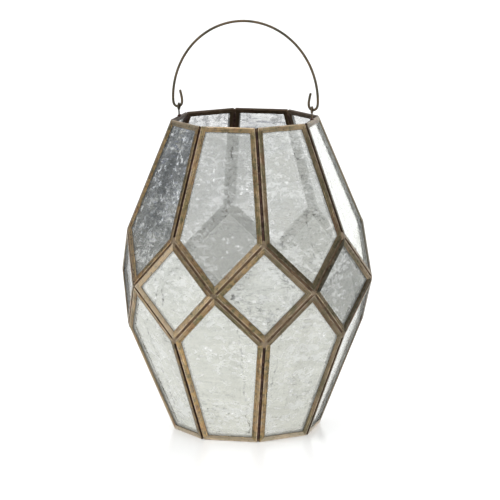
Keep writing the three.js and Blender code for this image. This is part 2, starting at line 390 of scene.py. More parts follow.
    film = n.math("SUBTRACT", film, n.math("MULTIPLY", bare, 0.62), clamp=True)
    film = n.math("MULTIPLY_ADD", milk, 0.06, film, clamp=True)
    film = n.math("MAXIMUM", film, n.math("MULTIPLY", flakes_and_glints, 0.95))
    film = n.math("MAXIMUM", film, n.math("MULTIPLY", n.math("MAXIMUM", n.math("MAXIMUM", t_dark, t_pale), smoke), 0.90))
    alpha = n.math("ADD", n.math("MULTIPLY", silver, film), n.math("MULTIPLY", n.math("SUBTRACT", 1.0, silver), 0.075))
    # the silvering stops short of the frame, and leaves a matt pale border
    border = n.math("MULTIPLY_ADD", n.math("SUBTRACT", t_edge, 0.5), 0.0022, edge)
    border = n.math("MULTIPLY", n.span(border, 0.0010, 0.0034, 1.0, 0.0), n.attr("pane_border", "Fac"))
    tone = n.mix(n.math("MULTIPLY", n.math("MULTIPLY", border, silver), 0.30), tone, (0.930, 0.925, 0.860))
    shiny = n.math("SUBTRACT", n.span(bare, 0.0, 0.9, 0.94, 0.40, smooth=False), n.math("MULTIPLY", flakes_and_glints, 0.80), clamp=True)
    shiny = n.math("MULTIPLY", shiny, n.math("MULTIPLY_ADD", border, -0.85, 1.0))
    shiny = n.math("SUBTRACT", shiny, n.math("MULTIPLY", milk, 0.40), clamp=True)
    shiny = n.math("SUBTRACT", shiny, n.math("MULTIPLY", t_pale, 0.70), clamp=True)
    metallic = n.math("MULTIPLY", silver, shiny)
    rough_s = n.math("ADD", n.span(smear, 0.34, 0.68, 0.07, 0.22), n.math("MULTIPLY", bare, 0.22))
    rough = n.math("ADD", n.math("MULTIPLY", silver, rough_s), n.math("MULTIPLY", n.math("SUBTRACT", 1.0, silver), 0.035))
    # the film itself is crinkled, and the glass before it only waves a little
    wave = n.noise(n.scaled(co, (38, 30, 1), (5, 5, 5)), 1.0, 2, 0.4)
    crinkle = n.noise(n.scaled(co, (230, 300, 1), (2, 2, 9)), 1.0, 3, 0.55, warp=0.4)
    calm = n.span(n.noise(n.scaled(co, (21, 24, 1), (6, 8, 3)), 1.0, 2, 0.5), 0.36, 0.64, 0.35, 1.0)
    height = n.math("MULTIPLY", n.math("MULTIPLY_ADD", crinkle, 1.0, n.math("MULTIPLY", speck, 0.18)), silver)
    height = n.math("MULTIPLY", n.math("MULTIPLY", height, calm), gain)
    normal = n.bump(wave, 0.35, 0.0010)
    normal = n.bump(height, 0.40, 0.0010, normal)
    n.set(Base_Color=tone, Metallic=metallic, Roughness=rough, Alpha=alpha, Normal=normal, IOR=1.5)
    n.mat.use_transparent_shadow = True
    return n.mat


def make_came():
    """Aged brass strip: strip is (along, across 0 to 1, seed), along in metres. Across starts at the seam."""
    n = Nodes("aged_brass_channel")
    co = n.attr("strip")
    sep = n.new("ShaderNodeSeparateXYZ")
    n.put(sep.inputs[0], co)
    across = sep.outputs["Y"]
    geo = n.new("ShaderNodeTexCoord").outputs["Object"]
    patch = n.noise(geo, 42, 4, 0.6)
    patch2 = n.noise(n.scaled(geo, (1, 1, 1), (4, 1, 8)), 74, 4, 0.6)
    mottle = n.noise(n.scaled(geo, (1, 1, 1), (9, 3, 2)), 260, 4, 0.62)
    draw = n.noise(n.scaled(co, (46, 5.5, 1)), 1.0, 4, 0.62)
    grain = n.noise(geo, 950, 2, 0.6)
    tan, gold, red, olive, pink, dark = (
        (0.345, 0.258, 0.158), (0.600, 0.425, 0.205), (0.300, 0.165, 0.095),
        (0.190, 0.168, 0.090), (0.340, 0.262, 0.200), (0.054, 0.029, 0.019))
    c = n.mix(n.span(patch, 0.40, 0.60), tan, olive)
    c = n.mix(n.math("MULTIPLY", n.span(patch2, 0.50, 0.64), 0.75), c, red)
    c = n.mix(n.math("MULTIPLY", n.span(mottle, 0.52, 0.70), 0.55), c, pink)
    c = n.mix(n.math("MULTIPLY", n.span(draw, 0.54, 0.72), 0.60), c, gold)
    c = n.mix(n.math("MULTIPLY", n.span(draw, 0.47, 0.28), 0.62), c, (0.085, 0.066, 0.037))
    # darker beside the glass and down the fold into the seam: painted shade under the lip by the glass, and patina
    # with painted shade in the seam's fold
    shift = n.math("MULTIPLY", n.math("SUBTRACT", draw, 0.5), 0.10)
    glass_lip_painted_shade = n.span(n.math("ADD", across, shift), 0.84, 1.02)
    seam_patina_and_painted_shade = n.span(across, 0.035, 0.004)
    # a pale line on the shoulder by the seam: partly rubbed wear, partly painted highlight where the rounded shoulder
    # catches the light
    rubbed_wear_and_highlight = n.math("MULTIPLY", n.span(across, 0.035, 0.075), n.span(n.math("ADD", across, shift), 0.26, 0.15))
    rubbed_wear_and_highlight = n.math("MULTIPLY", rubbed_wear_and_highlight, n.span(n.noise(n.scaled(geo, (1, 1, 1), (5, 2, 7)), 120, 3, 0.6), 0.36, 0.60))
    # bright gold streaks: painted highlight on the brass, standing in for the lamps' glints
    crest = n.math("MULTIPLY", n.span(draw, 0.58, 0.70), n.span(patch2, 0.36, 0.54))
    c = n.mix(n.math("MULTIPLY", crest, 0.95), c, (0.980, 0.765, 0.450))
    c = n.mix(n.math("MULTIPLY", rubbed_wear_and_highlight, 0.80), c, (0.720, 0.570, 0.430))
    crimp = n.math("ABSOLUTE", n.math("SUBTRACT", across, 0.69))
    crimp = n.math("MULTIPLY", n.span(crimp, 0.075, 0.018), n.span(patch2, 0.34, 0.56, 0.45, 0.92))
    c = n.mix(crimp, c, (0.070, 0.050, 0.030))
    # the per-strip tints: dark is partly patina and partly painted shade, golden partly painted highlight, pale a
    # painted highlight
    tint = n.new("ShaderNodeSeparateXYZ")
    n.put(tint.inputs[0], n.attr("patina_and_painted_light"))
    c = n.mix(n.math("MULTIPLY", tint.outputs["Z"], n.span(mottle, 0.30, 0.62, 0.55, 0.95)), c, (0.640, 0.540, 0.410))
    c = n.mix(n.math("MULTIPLY", tint.outputs["Y"], n.span(mottle, 0.42, 0.60)), c, (0.700, 0.440, 0.170))
    c = n.mix(n.math("MULTIPLY", tint.outputs["X"], n.span(mottle, 0.34, 0.66, 1.0, 0.78)), c, (0.046, 0.041, 0.024))
    # the channel's faces inside the lantern are darkened: painted shade
    inner = n.attr("inner_side_painted_shade", "Fac")
    # the dark laid by the glass, in the seam and on the inner face is painted shade, with patina in the seam as well
    rim_patina_and_painted_shade = n.math("MAXIMUM", n.math("MULTIPLY", glass_lip_painted_shade, 0.62), n.math("MULTIPLY", seam_patina_and_painted_shade, 0.92))
    rim_patina_and_painted_shade = n.math("MAXIMUM", rim_patina_and_painted_shade, n.math("MULTIPLY", inner, 0.80))
    c = n.mix(rim_patina_and_painted_shade, c, dark)
    c = n.mix(n.math("MULTIPLY", n.span(grain, 0.58, 0.76), 0.35), c, dark)
    rough = n.math("ADD", n.span(mottle, 0.3, 0.7, 0.24, 0.44), n.math("MULTIPLY", rim_patina_and_painted_shade, 0.16))
    rough = n.math("SUBTRACT", rough, n.math("MULTIPLY", n.span(draw, 0.54, 0.72), 0.05))
    hills = n.math("MULTIPLY_ADD", draw, 0.8, n.math("MULTIPLY_ADD", mottle, 0.7, n.math("MULTIPLY", grain, 0.3)))
    normal = n.bump(hills, 0.35, 0.00045)
    n.set(Base_Color=c, Metallic=0.90, Roughness=rough, Normal=normal)
    return n.mat


def make_wire():
    n = Nodes("dark_brass_wire")
    geo = n.new("ShaderNodeTexCoord").outputs["Object"]
    patch = n.noise(geo, 46, 3, 0.55)
    draw = n.noise(n.scaled(geo, (1, 1, 1), (2, 5, 1)), 210, 3, 0.6)
    grain = n.noise(geo, 1100, 2, 0.6)
    c = n.mix(n.span(patch, 0.40, 0.62), (0.165, 0.120, 0.076), (0.092, 0.080, 0.054))
    c = n.mix(n.math("MULTIPLY", n.span(draw, 0.55, 0.75), 0.6), c, (0.300, 0.190, 0.110))
    c = n.mix(n.math("MULTIPLY", n.span(grain, 0.58, 0.78), 0.45), c, (0.040, 0.032, 0.024))
    rough = n.span(draw, 0.3, 0.75, 0.30, 0.50)
    normal = n.bump(n.math("ADD", n.math("MULTIPLY", draw, 0.7), n.math("MULTIPLY", grain, 0.4)), 0.25, 0.00025)
    n.set(Base_Color=c, Metallic=0.85, Roughness=rough, Normal=normal)
    return n.mat


def make_solder(name, deep, mid, crest, metallic):
    n = Nodes(name)
    geo = n.new("ShaderNodeTexCoord").outputs["Object"]
    patch = n.noise(geo, 95, 4, 0.6)
    mottle = n.noise(n.scaled(geo, (1, 1, 1), (3, 8, 1)), 310, 4, 0.62)
    grain = n.noise(geo, 900, 3, 0.65)
    c = n.mix(n.span(patch, 0.38, 0.62), deep, mid)
    c = n.mix(n.math("MULTIPLY", n.span(mottle, 0.50, 0.70), 0.65), c, crest)
    c = n.mix(n.math("MULTIPLY", n.span(grain, 0.58, 0.76), 0.4), c, (0.030, 0.022, 0.014))
    rough = n.span(mottle, 0.3, 0.7, 0.34, 0.60)
    normal = n.bump(n.math("ADD", mottle, n.math("MULTIPLY", grain, 0.3)), 0.45, 0.0006)
    n.set(Base_Color=c, Metallic=metallic, Roughness=rough, Normal=normal)
    return n.mat


def make_base():
    n = Nodes("aged_brass_plate")
    geo = n.new("ShaderNodeTexCoord").outputs["Object"]
    patch = n.noise(geo, 22, 4, 0.6)
    swirl = n.noise(n.scaled(geo, (14, 160, 14)), 1.0, 4, 0.6)
    grain = n.noise(geo, 700, 2, 0.6)
    c = n.mix(n.span(patch, 0.36, 0.64), (0.350, 0.262, 0.150), (0.190, 0.155, 0.095))
    c = n.mix(n.math("MULTIPLY", n.span(swirl, 0.50, 0.72), 0.5), c, (0.420, 0.320, 0.190))
    c = n.mix(n.math("MULTIPLY", n.span(grain, 0.58, 0.78), 0.4), c, (0.070, 0.055, 0.035))
    rough = n.span(patch, 0.3, 0.7, 0.38, 0.58)
    normal = n.bump(n.math("ADD", n.math("MULTIPLY", swirl, 0.6), n.math("MULTIPLY", grain, 0.3)), 0.25, 0.0003)
    n.set(Base_Color=c, Metallic=0.85, Roughness=rough, Normal=normal)
    return n.mat


def make_floor():
    n = Nodes("pale_floor")
    geo = n.new("ShaderNodeTexCoord").outputs["Object"]
    soft = n.noise(geo, 3.0, 2, 0.5)
    c = n.mix(n.span(soft, 0.3, 0.7), (0.892, 0.892, 0.890), (0.896, 0.896, 0.894))
    n.set(Base_Color=c, Roughness=0.24, Specular_IOR_Level=0.30,
          Emission_Color=(1.0, 1.0, 1.0), Emission_Strength=0.22)
    return n.mat


MERCURY, CAME, WIRE, BASE = make_mercury(), make_came(), make_wire(), make_base()
SOLDER_DARK = make_solder("dark_solder", (0.036, 0.015, 0.011), (0.080, 0.034, 0.025), (0.260, 0.180, 0.150), 0.6)
SOLDER_BROWN = make_solder("brown_solder", (0.085, 0.052, 0.032), (0.165, 0.105, 0.062), (0.290, 0.195, 0.120), 0.8)
SOLDER_LIGHT = make_solder("tinned_brass_solder", (0.170, 0.128, 0.080), (0.290, 0.220, 0.150), (0.430, 0.340, 0.245), 0.88)


# ------------------------------------------------------------------------------------------------
# mesh helpers
# ------------------------------------------------------------------------------------------------
def finish_mesh(name, bm, mat, smooth_angle=38.0, recalc=True):
    """bm is in millimetres in the frame; makes the object in metres. Drops are already the right way out."""
    if recalc:
        bmesh.ops.recalc_face_normals(bm, faces=bm.faces)
        if bm.calc_volume(signed=True) < 0:
            bmesh.ops.reverse_faces(bm, faces=bm.faces)
    me = bpy.data.meshes.new(name)
    bm.to_mesh(me)
    bm.free()
    me.transform(Matrix.Scale(MM, 4))
    me.shade_smooth()
    me.set_sharp_from_angle(angle=math.radians(smooth_angle))
    me.materials.append(mat)
    o = bpy.data.objects.new(name, me)
    scene.collection.objects.link(o)
    return o


def piece(o, body, slot, *nodes):
    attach(o, body)
    if nodes:
        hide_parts(*nodes)
    return o


def vector_attribute(me, name, values):
    a = me.attributes.new(name, "FLOAT_VECTOR", "POINT")
    a.data.foreach_set("vector", [x for v in values for x in v])


# outer half of the channel's section: (in from the edge, behind the face). The face is crowned between
# a rounded shoulder at the seam and a lip that curls down to the glass.
HALF = [
    (0.00, 1.50), (0.00, 1.05), (0.05, 0.74), (0.17, 0.48), (0.36, 0.28), (0.62, 0.16), (1.00, 0.07), (1.60, 0.02),
    (2.30, 0.00), (3.00, 0.02), (3.55, 0.06), (3.85, 0.22), (4.15, 0.11), (4.70, 0.16), (5.18, 0.32), (5.44, 0.47), (5.58, 0.63),
    (5.60, 0.73), (5.50, 0.79), (5.30, 0.78), (5.05, 0.72), (4.60, 0.62), (4.00, 0.56), (1.20, 0.52), (0.55, 0.80),
    (0.50, 1.20),
]
INNER_FACE = 4.8       # the channel's inner leg is the shorter one
SECTION = HALF + [(s if s < 2 else 2 + (s - 2) * (INNER_FACE - 2) / (FACE - 2), DEPTH - d) for s, d in reversed(HALF)]
HIDDEN = set(range(21, len(SECTION) - 21)) | {0, 1, len(SECTION) - 1, len(SECTION) - 2}


# frames whose brass is darker, or golden: the darker ones partly patina and partly painted shade, the golden ones
# partly rubbed brass and partly painted highlight
DARKER = {
    ("diamond", 7): 0.55, ("upper", 0): 0.50, ("lower", 0): 0.35, ("upper", 7): 0.18, ("upper", 4): 0.35,
    ("lower", 7): 0.10, ("diamond", 2): 0.3, ("upper", 2): 0.2, ("lower", 3): 0.25,
}
GOLDEN = {("upper", 5): 0.45, ("upper", 6): 0.25, ("diamond", 5): 0.30, ("lower", 5): 0.20, ("lower", 2): 0.3, ("diamond", 1): 0.3}
# and single strips of them: the strip's index, counted from the outline's first corner, to (darker, golden, pale);
# darker is partly painted shade, golden and pale partly painted highlight
STRIPS = {
    ("upper", 5): {1: (0.45, 0.5, 0.0), 2: (0.0, 0.1, 0.5), 4: (0.0, 0.3, 0.2)},
    ("upper", 6): {0: (0.0, 0.3, 0.2), 1: (0.15, 0.2, 0.0), 4: (0.30, 0.2, 0.0)},
    ("upper", 7): {0: (0.80, 0.0, 0.0), 1: (0.40, 0.0, 0.0), 2: (0.0, 0.2, 0.25), 4: (0.80, 0.0, 0.0)},
    ("upper", 0): {0: (0.90, 0.0, 0.0), 3: (0.90, 0.0, 0.0)},
    ("diamond", 5): {0: (0.0, 0.3, 0.3), 1: (0.55, 0.2, 0.0), 2: (0.0, 0.3, 0.7), 3: (0.0, 0.2, 0.55)},
    ("diamond", 6): {0: (0.35, 0.0, 0.1), 1: (0.45, 0.0, 0.1), 2: (0.25, 0.35, 0.0), 3: (0.30, 0.30, 0.0)},
    ("diamond", 7): {0: (0.88, 0.0, 0.0), 1: (0.20, 0.0, 0.2), 2: (1.00, 0.0, 0.0), 3: (0.35, 0.0, 0.0)},
    ("lower", 5): {0: (0.0, 0.1, 0.35), 1: (0.65, 0.6, 0.0)},
    ("lower", 6): {0: (0.0, 0.0, 0.35), 1: (0.15, 0.3, 0.0), 2: (0.45, 0.0, 0.0), 3: (0.0, 0.25, 0.0), 4: (0.0, 0.5, 0.1)},
    ("lower", 7): {0: (0.0, 0.0, 0.55), 1: (0.40, 0.0, 0.1), 2: (0.55, 0.0, 0.1), 3: (0.60, 0.0, 0.1), 4: (0.30, 0.45, 0.0)},
    ("lower", 0): {0: (0.1, 0.3, 0.0), 2: (0.7, 0.0, 0.0), 4: (0.75, 0.2, 0.0)},
}


def build_came(row, k):
    flat, centre, x, y, normal = panel_frame(rows[row][k])
    n = len(flat)
    loops = [offset(flat, [w + s for w in insets[row]]) for s, _ in SECTION]
    seed = {"upper": 0, "diamond": 20, "lower": 40}[row] + k
    bm = bmesh.new()
    stations = []          # (side, t)
    for i in range(n):
        length = (flat[(i + 1) % n] - flat[i]).length
        count = max(6, int(round(length / 6.0)))
        ts = [0.0, 0.7 / length] + [j / count for j in range(1, count)] + [1 - 0.7 / length]
        stations += [(i, t, length) for t in ts]
    grid, strip, inner, patina_and_painted_light = [], [], [], []
    plain = (DARKER.get((row, k), 0.0), GOLDEN.get((row, k), 0.0), 0.0)
    run = 0.0
    for i, t, length in stations:
        line = []
        for j, (s, d) in enumerate(SECTION):
            a, b = loops[j][i], loops[j][(i + 1) % n]
            p = a.lerp(b, t)
            at = centre + x * p.x + y * p.y
            front = d < DEPTH / 2
            # hand work: the face is a little uneven and the lip's edge wanders
            uneven = 0.5 + 0.5 * fbm(at, 0.055, 2, seed * 3.1 + (0 if front else 50))
            sink = 0.16 * uneven * min(1.0, s / 1.5)
            if t == 0.0:
                sink += 0.10 if s > 0.5 else 0.0      # the mitre shows as a hairline
            wander = 0.16 * fbm(at, 0.11, 2, seed * 5.3 + 9 + (0 if front else 30)) if s > 4.2 else 0.0
            depth = d + sink if front else d - sink
            if s > 1.0:       # the lips stop short of the glass
                depth = min(depth, 0.84) if front else max(depth, DEPTH - 0.84)
            if j in HIDDEN:
                depth = d
            e = (b - a).normalized()
            q = p + Vector((-e.y, e.x)) * wander
            line.append(bm.verts.new(centre + x * q.x + y * q.y - normal * depth))
            strip.append(((run + t * length) * MM, min(1.0, s / FACE), seed * 0.731))
            inner.append(0.0 if front else 1.0)
            patina_and_painted_light.append(STRIPS.get((row, k), {}).get(i, plain))
        grid.append(line)
        if t > 0.98 or (t > 0 and stations[(len(grid)) % len(stations)][0] != i):
            run += length
    m = len(SECTION)
    for a in range(len(grid)):
        b = (a + 1) % len(grid)
        for j in range(m):
            jj = (j + 1) % m
            bm.faces.new((grid[a][j], grid[b][j], grid[b][jj], grid[a][jj]))
    o = finish_mesh(f"came_{row}_{k}", bm, CAME, 50)
    vector_attribute(o.data, "strip", strip)
    vector_attribute(o.data, "patina_and_painted_light", patina_and_painted_light)
    # marks the channel's faces inside the lantern, which the brass darkens as painted shade
    side = o.data.attributes.new("inner_side_painted_shade", "FLOAT", "POINT")
    side.data.foreach_set("value", inner)
    return piece(o, "shell", "channel_brass", f"frame_{row}_{k}")


# how bright, how crinkled, how thick and how tarnished the silvering is, by row and for the panes that differ
TONES = {"upper": 0.89, "diamond": 0.885, "lower": 0.85}
PANE_TONE = {("upper", 5): 0.84, ("upper", 1): 1.10, ("upper", 2): 1.16, ("upper", 3): 1.16, ("upper", 0): 1.05, ("upper", 7): 1.0, ("upper", 6): 0.71, ("diamond", 7): 0.95}
GAINS = {"upper": 0.75, "diamond": 0.75, "lower": 0.9}
PANE_GAIN = {("upper", 5): 1.1, ("upper", 4): 1.1, ("upper", 0): 0.5, ("upper", 1): 1.5, ("upper", 2): 1.7, ("upper", 3): 1.7}
THICK = {"upper": 0.83, "diamond": 0.89, "lower": 0.91}
PANE_THICK = {("upper", 5): 0.92, ("upper", 0): 0.90, ("upper", 2): 0.52, ("upper", 3): 0.50, ("upper", 1): 0.52}
TARNISH = {
    ("upper", 5): 1.0, ("upper", 4): 0.9, ("upper", 3): 0.75, ("upper", 2): 0.80, ("upper", 1): 0.50,
    ("diamond", 4): 0.35, ("diamond", 3): 0.4, ("lower", 3): 0.2, ("diamond", 7): 0.12,
}

# how far the matt border shows beside the frame
BORDERS = {"upper": 0.70, ("upper", 5): 0.20, ("upper", 6): 0.35, ("diamond", 7): 0.45, ("upper", 4): 0.3}


def build_pane(row, k):
    flat, centre, x, y, normal = panel_frame(rows[row][k])
    seed = {"upper": 0, "diamond": 20, "lower": 40}[row] + k
    outline = offset(flat, [w + WALL + 0.3 for w in insets[row]])
    front, rear = -0.86, -2.74
    bm = bmesh.new()
    top = [bm.verts.new((p.x, p.y, front)) for p in outline]
    low = [bm.verts.new((p.x, p.y, rear)) for p in outline]
    bm.faces.new(top)
    bm.faces.new(list(reversed(low)))
    for i in range(len(top)):
        j = (i + 1) % len(top)
        bm.faces.new((top[j], top[i], low[i], low[j]))
    xs, ys = [p.x for p in outline], [p.y for p in outline]
    for axis, values in ((0, xs), (1, ys)):
        lo, hi = min(values), max(values)
        count = max(4, int((hi - lo) / 6.0))
        for c in range(1, count):
            at = lo + (hi - lo) * c / count
            co = (at, 0, 0) if axis == 0 else (0, at, 0)
            no = (1, 0, 0) if axis == 0 else (0, 1, 0)
            bmesh.ops.bisect_plane(bm, geom=bm.verts[:] + bm.edges[:] + bm.faces[:], plane_co=co, plane_no=no)
    bmesh.ops.remove_doubles(bm, verts=bm.verts, dist=0.12)
    bmesh.ops.dissolve_degenerate(bm, edges=bm.edges, dist=0.02)
    lines = []
    for i, p in enumerate(offset(flat, [w + FACE for w in insets[row]])):
        q = offset(flat, [w + FACE for w in insets[row]])[(i + 1) % len(flat)]
        d = (q - p).normalized()
        lines.append((p, Vector((-d.y, d.x))))
    width = max(xs) - min(xs)
    r1, r2, r3 = (noise.cell(Vector((seed * 1.7 + 0.3, j * 3.1, 2.2))) for j in range(3))
    cracks = ((r1 - 0.5) * 0.5 * width * MM, (r2 - 0.5) * 0.6 * width * MM, r3)
    tone = PANE_TONE.get((row, k), TONES[row] * (0.97 + 0.06 * r2))
    coords, aux = [], []
    for v in bm.verts:
        local = v.co.copy()
        wave = 0.045 * fbm(Vector((local.x, local.y, 0)), 0.028, 2, seed * 7.7)
        inside = min((Vector((local.x, local.y)) - p).dot(m) for p, m in lines)
        is_front = local.z > -1.8
        coords.append((local.x * MM, local.y * MM, seed * 1.37))
        aux.append((max(0.0, inside) * MM, 0.0 if is_front else 1.0, tone))
        v.co = centre + x * local.x + y * local.y + normal * (local.z + wave)
    bm.verts.index_update()
    o = finish_mesh(f"glass_{row}_{k}", bm, MERCURY, 40)
    vector_attribute(o.data, "pane_co", coords)
    vector_attribute(o.data, "pane_aux", aux)
    vector_attribute(o.data, "pane_crack", [cracks] * len(coords))
    film = (PANE_GAIN.get((row, k), GAINS[row]), PANE_THICK.get((row, k), THICK[row]))
    rust = TARNISH.get((row, k), 0.0)
    films = []
    for _, up, _ in coords:
        high = min(1.0, max(0.0, (up / MM + 62) / 100)) if row == "upper" else 0.7
        films.append((*film, rust * (0.12 + 0.88 * high)))
    vector_attribute(o.data, "pane_film", films)
    border = o.data.attributes.new("pane_border", "FLOAT", "POINT")
    border.data.foreach_set("value", [BORDERS.get((row, k), BORDERS.get(row, 1.0))] * len(coords))
    return piece(o, "shell", "mercury_glass", f"pane_{row}_{k}")


for row in rows:
    for k in range(SIDES):
        build_came(row, k)
        build_pane(row, k)


# ------------------------------------------------------------------------------------------------
# solder: a dark bead low in every groove, and a flattened drop where grooves meet
# ------------------------------------------------------------------------------------------------
def bead(bm, a, b, na, nb, start, end, seed, deep=2.0, swing=0.45):
    """A bead along the seam a to b between panels with normals na and nb."""
    along = (b - a).normalized()
    out = (na + nb).normalized()
    side = along.cross(out)
    if side.dot(na) < 0:
        side.negate()
    half = na.angle(nb) / 2
    w = DEPTH * math.tan(half) + GAP / 2
    c, s = math.cos(half), math.sin(half)
    length = (b - a).length
    count = max(8, int(length / 3.0))
    lines = []
    for i in range(count + 1):
        t = start + (length - start - end) * i / count
        p = a + along * t
        rough = fbm(p, 0.16, 2, seed)
        fill = deep - swing * rough
        lw = w * c - fill * s + 0.06
        hw = -w * s - fill * c
        mid_sag = 0.16 + 0.10 * fbm(p, 0.3, 2, seed + 5)
        inner = -w * s - DEPTH * c
        wide = 1.15 + 0.25 * fbm(p, 0.2, 2, seed + 11)
        section = [
            (-lw, hw), (-lw * 0.5, hw - mid_sag * 0.7), (0, hw - mid_sag), (lw * 0.5, hw - mid_sag * 0.7), (lw, hw),
            (0.12, inner + 0.5), (0.12, inner + 0.02),
            (wide, inner - (wide - 0.15) * math.tan(half) + 0.03), (wide * 0.62, inner - 0.36 - 0.1 * rough),
            (0, inner - 0.46 - 0.1 * rough), (-wide * 0.62, inner - 0.36 - 0.1 * rough),
            (-wide, inner - (wide - 0.15) * math.tan(half) + 0.03), (-0.12, inner + 0.02), (-0.12, inner + 0.5),
        ]
        lines.append([bm.verts.new(p + side * l + out * h) for l, h in section])
    m = len(lines[0])
    for i in range(count):
        for j in range(m):
            jj = (j + 1) % m
            bm.faces.new((lines[i][j], lines[i + 1][j], lines[i + 1][jj], lines[i][jj]))
    bm.faces.new(list(reversed(lines[0])))
    bm.faces.new(lines[-1])


def drop(bm, at, out, across, size, seed):
    """A flattened drop of solder: at is its centre, size its half extents along (across, third, out)."""
    out = out.normalized()
    across = (across - out * across.dot(out)).normalized()
    third = out.cross(across)
    made = bmesh.ops.create_icosphere(bm, subdivisions=3, radius=1.0)["verts"]
    for v in made:
        c = v.co.copy()
        r = 1 + 0.16 * fbm(c * 1.2 + at * 0.5, 1.0, 2, seed)
        v.co = at + (across * (c.x * size[0]) + third * (c.y * size[1]) + out * (c.z * size[2])) * r


upright = bmesh.new()
slanted = bmesh.new()
joints = bmesh.new()
corners_bm = bmesh.new()
for k in range(SIDES):
    seam = k * STEP + STEP / 2
    t_v, u_v, l_v, b_v = ring(R_RIM, seam, HEIGHT), ring(R_DIAMOND, seam, Z_HIGH), ring(R_DIAMOND, seam, Z_LOW), ring(R_RIM, seam, 0)
    m0, m1 = ring(R_MID, k * STEP, Z_MID), ring(R_MID, (k + 1) * STEP, Z_MID)
    up0, up1 = normal_of("upper", k), normal_of("upper", k + 1)
    lo0, lo1 = normal_of("lower", k), normal_of("lower", k + 1)
    dia = normal_of("diamond", k)
    bead(upright, u_v, t_v, up0, up1, 2.0, 1.6, 3 + k)
    bead(upright, b_v, l_v, lo0, lo1, 1.6, 2.0, 23 + k)
    bead(slanted, m0, u_v, up0, dia, 2.5, 2.0, 43 + k, 1.05, 0.55)
    bead(slanted, m1, u_v, up1, dia, 2.5, 2.0, 63 + k, 1.05, 0.55)
    bead(slanted, m0, l_v, lo0, dia, 2.5, 2.0, 83 + k, 1.05, 0.55)
    bead(slanted, m1, l_v, lo1, dia, 2.5, 2.0, 103 + k, 1.05, 0.55)
    radial = ring(1, seam, 0)
    tangent = Vector((-radial.y, radial.x, 0))
    radial_m = ring(1, k * STEP, 0)
    tangent_m = Vector((-radial_m.y, radial_m.x, 0))
    up_dir, lo_dir = (up0 + up1).normalized(), (lo0 + lo1).normalized()
    node_u, node_l = (up0 + up1 + dia).normalized(), (lo0 + lo1 + dia).normalized()
    drop(joints, u_v - node_u * 2.55, node_u, tangent, (3.6, 4.6, 1.75), 5 + k)
    drop(joints, l_v - node_l * 2.55, node_l, tangent, (3.6, 4.6, 1.75), 25 + k)
    drop(joints, m0 - radial_m * 3.0, radial_m, tangent_m, (4.6, 3.0, 1.9), 45 + k)
    drop(corners_bm, t_v - up_dir * 2.3 - Vector((0, 0, 2.2)), up_dir, tangent, (1.7, 2.1, 1.6), 65 + k)
    drop(corners_bm, b_v - lo_dir * 2.3 + Vector((0, 0, 2.2)), lo_dir, tangent, (1.7, 2.1, 1.6), 85 + k)
for bm_ in (joints, corners_bm):
    for v in bm_.verts:
        v.co.x = max(-128.9, min(128.9, v.co.x))
        v.co.y = max(-128.9, min(128.9, v.co.y))
        v.co.z = max(0.02, v.co.z)
piece(finish_mesh("solder_upright_seams", upright, SOLDER_DARK, 50), "shell", "channel_brass")
piece(finish_mesh("solder_slanted_seams", slanted, SOLDER_BROWN, 50), "shell", "channel_brass")
piece(finish_mesh("solder_joints", joints, SOLDER_LIGHT, 60, False), "shell", "channel_brass")
piece(finish_mesh("solder_corners", corners_bm, SOLDER_BROWN, 60, False), "shell", "channel_brass")


# ------------------------------------------------------------------------------------------------
# base plate: a pressed octagonal sheet with a shallow tray and a rolled edge
# ------------------------------------------------------------------------------------------------
def build_base():
    bm = bmesh.new()
    rings_ = [  # (apothem, z) from the middle of the top, out and round to the middle underneath
        (20.0, 0.62), (56.0, 0.62), (58.2, 0.66), (59.4, 0.80), (60.4, 0.94), (61.5, 0.99), (63.6, 1.00), (64.9, 0.98),
        (65.4, 0.90), (65.6, 0.72), (65.6, 0.28), (65.4, 0.10), (64.9, 0.02), (63.6, 0.0), (40.0, 0.0),
    ]
    per_side = 10
    loops = []
    for ap, z in rings_:
        corners = [ring(ap / COS, (i + 0.5) * STEP, z) for i in range(SIDES)]
        loop = []
        for i in range(SIDES):
            a, b = corners[i], corners[(i + 1) % SIDES]
            for j in range(per_side):
                loop.append(bm.verts.new(a.lerp(b, j / per_side)))
        loops.append(loop)
    m = len(loops[0])
    for i in range(len(loops) - 1):
        for j in range(m):
            jj = (j + 1) % m
            bm.faces.new((loops[i][j], loops[i][jj], loops[i + 1][jj], loops[i + 1][j]))
    bm.faces.new(loops[0])
    bm.faces.new(list(reversed(loops[-1])))
    return piece(finish_mesh("base_tray", bm, BASE, 40), "shell", "base_brass", "base_plate")


build_base()


